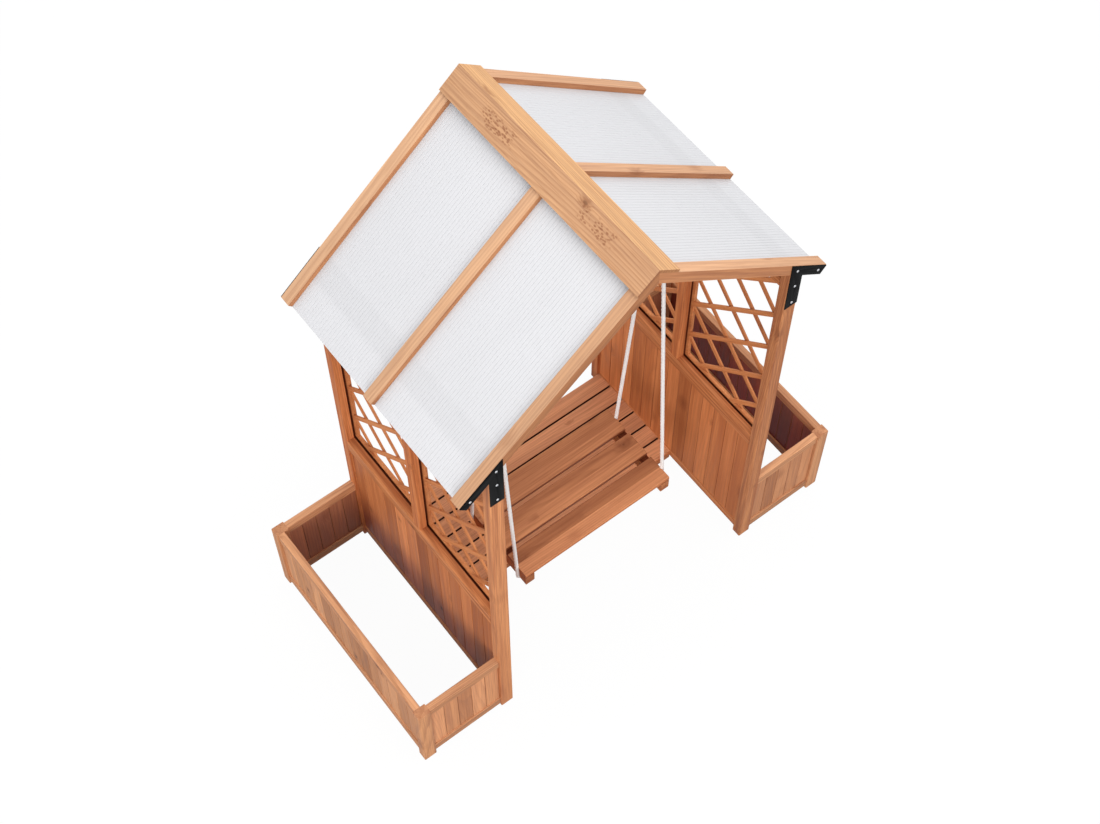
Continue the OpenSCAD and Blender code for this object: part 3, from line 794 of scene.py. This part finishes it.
class GARDENSWING_OT_corner_plates(SwingOperator, bpy.types.Operator):
    """Round off and paint the corner plates"""

    bl_idname = "garden_swing.corner_plates"
    bl_label = "Corner Plates"

    def finish(self, sizes):
        paint = Finish("black_coating")
        place = paint.place()
        peel = paint.noise(place, 900.0)
        cloud = paint.noise(place, 25.0, 3.0)
        worn = [v * 1.4 for v in sizes.paint]
        colour = paint.mix(paint.ramp(cloud, 0.35, 0.7) * 0.5, sizes.paint, worn)
        paint.coat({"Base Color": colour, "Roughness": 0.50 + cloud * 0.15, "Specular IOR Level": 0.03})
        paint.relief(peel, 0.0002, 0.35)
        return paint.material

    def execute(self, context):
        sizes = context.scene.fitting_sizes
        source = bpy.data.objects["corner_brackets"]
        plates = source.copy()
        plates.data = source.data.copy()
        plates.parent = None
        context.collection.objects.link(plates)
        alone(plates)
        bpy.ops.object.mode_set(mode="EDIT")
        bpy.ops.mesh.select_all(action="SELECT")
        bpy.ops.mesh.remove_doubles(threshold=WELD)
        bpy.ops.mesh.dissolve_limited(angle_limit=math.radians(1.0))
        close_edit()
        add_modifier(plates, "BEVEL", width=sizes.rounding, segments=2, limit_method="ANGLE",
                     angle_limit=math.radians(40.0), harden_normals=False)
        bpy.ops.object.shade_smooth_by_angle(angle=math.radians(35.0))
        settle(plates, "black_corner_plates", self.finish(sizes), "frame", "black_steel", "corner_brackets")
        return {"FINISHED"}


class GARDENSWING_OT_screws(SwingOperator, bpy.types.Operator):
    """Make the sixteen screws of the corner plates"""

    bl_idname = "garden_swing.screws"
    bl_label = "Screws"

    def finish(self, sizes):
        steel = Finish("plated_steel")
        turned = steel.noise(steel.place(), (1400.0, 200.0, 1400.0), 3.0)
        dull = [v * 0.78 for v in sizes.steel]
        colour = steel.mix(steel.ramp(turned, 0.35, 0.7) * 0.6, sizes.steel, dull)
        steel.coat({"Base Color": colour, "Metallic": 1.0, "Roughness": 0.24 + turned * 0.2})
        return steel.material

    def make(self, sizes):
        """One screw at the origin: its head's underside lies at z = 0, and its shank runs down."""
        head_h, shank_r, shank, tip = 0.002, 0.002, 0.022, 0.002
        bpy.ops.mesh.primitive_cylinder_add(vertices=24, radius=sizes.head, depth=head_h,
                                            location=(0.0, 0.0, head_h / 2.0))
        head = bpy.context.active_object
        freeze(head)
        pick(head, lambda face: face.normal.z > 0.9)
        bpy.ops.mesh.bevel(offset=0.0011, segments=3, profile=0.5)
        close_edit()
        pick(head, lambda face: face.normal.z < -0.9)
        bpy.ops.mesh.inset(thickness=sizes.head - shank_r)
        for length in (shank, tip):
            bpy.ops.mesh.extrude_region_move(TRANSFORM_OT_translate={"value": (0.0, 0.0, -length)})
        bpy.ops.transform.resize(value=(0.2, 0.2, 1.0), center_override=(0.0, 0.0, -shank - tip))
        close_edit()
        # The cross recess
        for turned in (0.0, math.pi / 2.0):
            bpy.ops.mesh.primitive_cube_add(size=1.0, location=(0.0, 0.0, 0.0019),
                                            rotation=(0.0, 0.0, turned))
            blade = bpy.context.active_object
            blade.scale = (0.0050, 0.0010, 0.0022)
            freeze(blade)
            add_modifier(head, "BOOLEAN", operation="DIFFERENCE", object=blade, solver="EXACT")
            bpy.data.objects.remove(blade)
        bpy.ops.object.shade_smooth_by_angle(angle=math.radians(35.0))
        return head

    def execute(self, context):
        sizes = context.scene.fitting_sizes
        first = self.make(sizes)
        made = []
        for number, (spot, way) in enumerate(screw_spots()):
            screw = first.copy()
            screw.data = first.data.copy()
            context.collection.objects.link(screw)
            spin = Matrix.Rotation(0.7 * number, 4, "Z")
            aim = way.to_track_quat("Z", "Y").to_matrix().to_4x4()
            screw.matrix_world = Matrix.Translation(spot) @ aim @ spin
            freeze(screw)
            made.append(screw)
        bpy.data.objects.remove(first)
        bpy.ops.object.select_all(action="DESELECT")
        for screw in made:
            screw.select_set(True)
        context.view_layer.objects.active = made[0]
        bpy.ops.object.join()
        settle(made[0], "plate_screws", self.finish(sizes), "frame", "screw_steel", "bracket_screws")
        return {"FINISHED"}


def screw_spots():
    """Places of the screws' heads, and the ways that they face."""
    middle = WALL_OUT - POST_WIDTH / 2.0
    low = LEG_LOW + FOOT_SCREW
    half = RAFTER_DEPTH / 2.0
    top = EAVE.z + (EAVE.x - middle) * SLOPE_S / SLOPE_C - half / SLOPE_C
    tip_x = EAVE.x - TIP_SCREW * SLOPE_C - half * SLOPE_S
    tip_z = EAVE.z + TIP_SCREW * SLOPE_S - half * SLOPE_C
    spots = []
    for side in (-1.0, 1.0):
        for end in (-1.0, 1.0):
            way = Vector((0.0, end, 0.0))
            for x, z in ((middle, low), (middle, low + LEG_SCREWS), (middle, top), (tip_x, tip_z)):
                spots.append((Vector((side * x, end * (DEPTH / 2.0 + PLATE_THICK), z)), way))
    return spots


class GARDENSWING_OT_deck(SwingOperator, bpy.types.Operator):
    """Finish the deck's boards, joists and apron"""

    bl_idname = "garden_swing.deck"
    bl_label = "Deck"

    def execute(self, context):
        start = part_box("deck_slats")[0][1] - DECK_GAP / 2.0
        lay = boards_across(DECK_BOARDS, DECK_STEP, start, DECK_GAP)
        # The deck boards' edges beside the gaps get nearly black painted shade
        finish_nodes(["deck_slats"],
                     wood_finish("deck_wood", "x", lay, 13, 0.5, (1.20, 1.14, 1.16), bleach_and_top_light=(0.32, 0.0),
                                 seam_shade=(0.97, "knot"), figure=(34.0, 0.75, 0.9)))
        finish_nodes(["deck_apron"], wood_finish("apron_wood", "x", sticks_apart(0.0, 0.0, 0.0), 14))
        finish_nodes(["deck_joists"], wood_finish("joist_wood", "y", sticks_apart(0.3, 0.0, 0.0), 15))
        return {"FINISHED"}


class GARDENSWING_OT_seat(SwingOperator, bpy.types.Operator):
    """Finish the seat's boards and bearers, and the bar that carries them"""

    bl_idname = "garden_swing.seat"
    bl_label = "Seat and Bar"

    def execute(self, context):
        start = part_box("seat_slat_front")[0][1] - SEAT_GAP / 2.0
        lay = boards_across(SEAT_BOARDS, SEAT_STEP, start, SEAT_GAP, 2)
        # The seat boards' edges beside the gaps get painted shade
        finish_nodes(["seat_slat_front", "seat_slat_middle", "seat_slat_rear"],
                     wood_finish("seat_wood", "x", lay, 100, 1.1, (0.93, 0.87, 0.88), bleach_and_top_light=(0.20, 0.0),
                                 seam_shade=(0.80, "dark"), figure=QUIET_FIGURE))
        finish_nodes(sides("seat_bearer"),
                     wood_finish("bearer_wood", "y", sticks_apart(0.3, 0.0, 0.0), 17, shade=under_boards))
        finish_nodes(["swing_bar"], wood_finish("bar_wood", "x", sticks_apart(0.0, 0.0, 0.0), 18))
        return {"FINISHED"}


class GARDENSWING_OT_rope(SwingOperator, bpy.types.Operator):
    """Make the laid rope that hangs over the bar and runs under the seat"""

    bl_idname = "garden_swing.rope"
    bl_label = "Rope"

    def finish(self, sizes):
        fibre = Finish("white_cord")
        uv = fibre.parts(fibre.node("ShaderNodeUVMap", {"uv_map": "rope"}))
        yarn = fibre.sum("SINE", (uv[0] * 2.2 + uv[1] * 0.9) * 3000.0)
        place = fibre.place()
        fuzz = fibre.noise(place, 700.0, 3.0)
        soil = fibre.noise(place, 9.0, 3.0)
        shaded = [v * 0.72 for v in sizes.colour]
        colour = fibre.mix(fibre.ramp(fuzz, 0.45, 0.75) * 0.12, sizes.colour, shaded)
        colour = fibre.mix(fibre.ramp(soil, 0.5, 0.8) * 0.10, colour, shaded)
        fibre.coat({"Base Color": colour, "Roughness": 0.72 + fuzz * 0.2, "Sheen Weight": 0.25})
        fibre.relief(yarn * 0.3 + fuzz, 0.0003, 0.5)
        return fibre.material

    def route(self):
        """Places along the endless rope, each with the two ways across it."""
        drop = math.sqrt(FOOT_REACH ** 2 - LOOP_R ** 2)
        places = []

        def run(start, end, out, inward):
            count = max(1, round((end - start).length / RUN_STEP))
            for k in range(count):
                places.append((start.lerp(end, k / count), out, inward))

        for end in (1.0, -1.0):
            down = Vector((0.0, end * math.sin(ROPE_LEAN), -math.cos(ROPE_LEAN)))
            out = Vector((0.0, end * math.cos(ROPE_LEAN), math.sin(ROPE_LEAN)))
            across = Vector((end, 0.0, 0.0))
            flat = ROPE_X - BEND_R
            top = BAR_AXIS + out * LOOP_R
            run(top - across * ROPE_X, top - across * ROPE_X + down * (drop - BEND_R), out, across)
            for side, first in ((-1.0, 0), (1.0, 90)):
                centre = top + across * side * flat + down * (drop - BEND_R)
                for k in range(BEND_STEPS):
                    a = math.radians(first + k * 90.0 / BEND_STEPS)
                    inward = across * math.cos(a) - down * math.sin(a)
                    places.append((centre - inward * BEND_R, out, inward))
                if side < 0.0:
                    foot = top + down * drop
                    run(foot - across * flat, foot + across * flat, out, -down)
            run(top + across * ROPE_X + down * (drop - BEND_R), top + across * ROPE_X, out, -across)
            for k in range(LOOP_STEPS):
                a = ROPE_LEAN + k * (math.pi - 2.0 * ROPE_LEAN) / LOOP_STEPS
                turned = Vector((0.0, end * math.cos(a), math.sin(a)))
                places.append((BAR_AXIS + across * ROPE_X + turned * LOOP_R, turned, -across))
        return places

    def lay_strands(self, places, sizes):
        """The rope's mesh round its places. Its UVs hold the run along it and the way round it."""
        count = len(places)
        lengths = [0.0]
        for k in range(count):
            lengths.append(lengths[-1] + (places[(k + 1) % count][0] - places[k][0]).length)
        turns = round(lengths[-1] / sizes.lay)
        points = []
        for k, (place, out, inward) in enumerate(places):
            twist = 2.0 * math.pi * turns * lengths[k] / lengths[-1]
            for j in range(ROPE_SIDES):
                a = 2.0 * math.pi * j / ROPE_SIDES
                hollow = (0.5 - 0.5 * math.cos(STRANDS * (a - twist))) ** 1.6
                swell = sizes.radius - sizes.hollow * hollow
                points.append(place + (out * math.cos(a) + inward * math.sin(a)) * swell)
        faces = []
        for k in range(count):
            here, ahead = k * ROPE_SIDES, (k + 1) % count * ROPE_SIDES
            for j in range(ROPE_SIDES):
                beside = (j + 1) % ROPE_SIDES
                faces.append((here + j, here + beside, ahead + beside, ahead + j))
        mesh = bpy.data.meshes.new("laid_rope")
        mesh.from_pydata([tuple(p) for p in points], [], faces)
        marks = mesh.uv_layers.new(name="rope")
        for face in mesh.polygons:
            k, j = divmod(face.index, ROPE_SIDES)
            spots = ((lengths[k], j), (lengths[k], j + 1), (lengths[k + 1], j + 1), (lengths[k + 1], j))
            for loop, (run, step) in zip(face.loop_indices, spots):
                marks.data[loop].uv = (run, step / ROPE_SIDES * 2.0 * math.pi * sizes.radius)
        return mesh

    def execute(self, context):
        sizes = context.scene.rope_sizes
        rope = bpy.data.objects.new("laid_rope", self.lay_strands(self.route(), sizes))
        context.collection.objects.link(rope)
        alone(rope)
        bpy.ops.object.shade_smooth()
        settle(rope, "laid_rope", self.finish(sizes), "swing", "rope", "rope")
        return {"FINISHED"}


class GARDENSWING_OT_stage(SwingOperator, bpy.types.Operator):
    """Set up the floor, the lamps and the camera"""

    bl_idname = "garden_swing.stage"
    bl_label = "Stage"

    def finish(self, settings):
        """The ground is white where it is looked at, has a painted shadow under the deck, and is dim as it
        lights things.
        """
        ground = Finish("pale_ground")
        rays = ground.node("ShaderNodeLightPath")
        mirrored = ground.sum("MAXIMUM", rays.beside("Is Glossy Ray"), rays.beside("Is Transmission Ray"))
        seen = ground.sum("MAXIMUM", rays.beside("Is Camera Ray"), mirrored)
        low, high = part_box("deck_slats")
        # Painted shadow under the deck: the floor there turns dark and shows no white
        under_deck_shadow, edge, most = 1.0, 0.05, 0.96
        for place, start, end in zip(ground.place()[:2], low, high):
            under_deck_shadow = ground.ramp(place, start, start + edge) * under_deck_shadow
            under_deck_shadow = (1.0 - ground.ramp(place, end - edge, end)) * under_deck_shadow
        pale = ground.mix(under_deck_shadow, (0.86, 0.86, 0.86), (0.16, 0.15, 0.14))
        matt = ground.node("ShaderNodeBsdfDiffuse", None, {"Color": ground.mix(seen, settings.ground, pale)})
        white = ground.node("ShaderNodeEmission", None, {"Color": (1.0, 1.0, 1.0, 1.0), "Strength": 1.0})
        shown = seen * (most - under_deck_shadow * most)
        ground.feed(ground.nodes["Material Output"].inputs["Surface"],
                    ground.node("ShaderNodeMixShader", None, {0: shown, 1: matt, 2: white}))
        ground.nodes.remove(ground.surface)
        return ground.material

    def floor(self, settings):
        bpy.ops.mesh.primitive_plane_add(size=60.0, location=(0.0, 0.0, -0.0005))
        floor = bpy.context.active_object
        freeze(floor)
        floor.name = "stage_floor"
        floor.data.materials.append(self.finish(settings))

    def sky(self, context, settings):
        """Even light from all round, which the camera sees as plain white."""
        world = bpy.data.worlds.new("studio")
        context.scene.world = world
        world.use_nodes = True
        nodes, links = world.node_tree.nodes, world.node_tree.links
        path = nodes.new("ShaderNodeLightPath")
        plain = nodes.new("ShaderNodeBackground")
        plain.inputs["Color"].default_value = (1.0, 1.0, 1.0, 1.0)
        plain.inputs["Strength"].default_value = 1.0
        sky = nodes["Background"]
        sky.inputs["Color"].default_value = (0.98, 0.99, 1.0, 1.0)
        sky.inputs["Strength"].default_value = settings.sky
        chosen = nodes.new("ShaderNodeMixShader")
        links.new(path.outputs["Is Camera Ray"], chosen.inputs[0])
        links.new(sky.outputs[0], chosen.inputs[1])
        links.new(plain.outputs[0], chosen.inputs[2])
        links.new(chosen.outputs[0], nodes["World Output"].inputs["Surface"])

    def lamps(self, context, settings):
        target = Vector((0.0, 0.0, 0.9))
        for name, spot, power, size, colour in (
                ("soft_lamp", (0.4, -0.6, 5.8), settings.lamp, 4.0, (1.0, 0.99, 0.97)),
                ("side_lamp", (-4.0, -4.0, 2.3), settings.side_lamp, 3.0, (1.0, 0.96, 0.92))):
            lamp = bpy.data.lights.new(name, "AREA")
            lamp.shape = "DISK"
            lamp.size = size
            lamp.energy = power
            lamp.color = colour
            stand = bpy.data.objects.new(name, lamp)
            stand.location = spot
            stand.rotation_euler = (target - Vector(spot)).to_track_quat("-Z", "Y").to_euler()
            context.collection.objects.link(stand)

    def camera(self, context):
        camera = bpy.data.cameras.new("camera")
        camera.lens = CAMERA_LENS
        camera.sensor_width = 36.0
        camera.sensor_fit = "HORIZONTAL"
        camera.clip_end = 200.0
        view = bpy.data.objects.new("camera", camera)
        turn = Matrix((CAMERA_RIGHT, CAMERA_UP, CAMERA_RIGHT.cross(CAMERA_UP))).transposed().to_4x4()
        view.matrix_world = Matrix.Translation(CAMERA_PLACE) @ turn
        context.collection.objects.link(view)
        context.scene.camera = view

    def execute(self, context):
        settings = context.scene.stage_settings
        self.floor(settings)
        self.sky(context, settings)
        self.lamps(context, settings)
        self.camera(context)
        context.scene.view_settings.view_transform = "Standard"
        return {"FINISHED"}


OPERATORS = (
    GARDENSWING_OT_side_walls,
    GARDENSWING_OT_trellises,
    GARDENSWING_OT_planters,
    GARDENSWING_OT_roof_timber,
    GARDENSWING_OT_roof_sheets,
    GARDENSWING_OT_corner_plates,
    GARDENSWING_OT_screws,
    GARDENSWING_OT_deck,
    GARDENSWING_OT_seat,
    GARDENSWING_OT_rope,
    GARDENSWING_OT_stage,
)


class GARDENSWING_PT_panel(bpy.types.Panel):
    """Sizes, colours and steps of the garden swing"""

    bl_idname = "GARDENSWING_PT_panel"
    bl_label = "Garden Swing"
    bl_space_type = "VIEW_3D"
    bl_region_type = "UI"
    bl_category = "Garden Swing"

    def draw(self, context):
        for name, kind in GROUPS:
            box = self.layout.box()
            box.label(text=kind.__doc__)
            for field in kind.__annotations__:
                box.prop(getattr(context.scene, name), field)
        for kind in OPERATORS:
            self.layout.operator(kind.bl_idname)


GROUPS = (
    ("wood_look", WoodLook),
    ("sheet_sizes", SheetSizes),
    ("rope_sizes", RopeSizes),
    ("fitting_sizes", FittingSizes),
    ("stage_settings", StageSettings),
)


def register():
    for name, kind in GROUPS:
        bpy.utils.register_class(kind)
        setattr(bpy.types.Scene, name, bpy.props.PointerProperty(type=kind))
    for kind in OPERATORS:
        bpy.utils.register_class(kind)
    bpy.utils.register_class(GARDENSWING_PT_panel)


def unregister():
    bpy.utils.unregister_class(GARDENSWING_PT_panel)
    for kind in reversed(OPERATORS):
        bpy.utils.unregister_class(kind)
    for name, kind in reversed(GROUPS):
        delattr(bpy.types.Scene, name)
        bpy.utils.unregister_class(kind)


def main():
    register()
    bpy.ops.garden_swing.side_walls()
    bpy.ops.garden_swing.trellises()
    bpy.ops.garden_swing.planters()
    bpy.ops.garden_swing.roof_timber()
    bpy.ops.garden_swing.roof_sheets()
    bpy.ops.garden_swing.corner_plates()
    bpy.ops.garden_swing.screws()
    bpy.ops.garden_swing.deck()
    bpy.ops.garden_swing.seat()
    bpy.ops.garden_swing.rope()
    bpy.ops.garden_swing.stage()


if __name__ == "__main__":
    main()
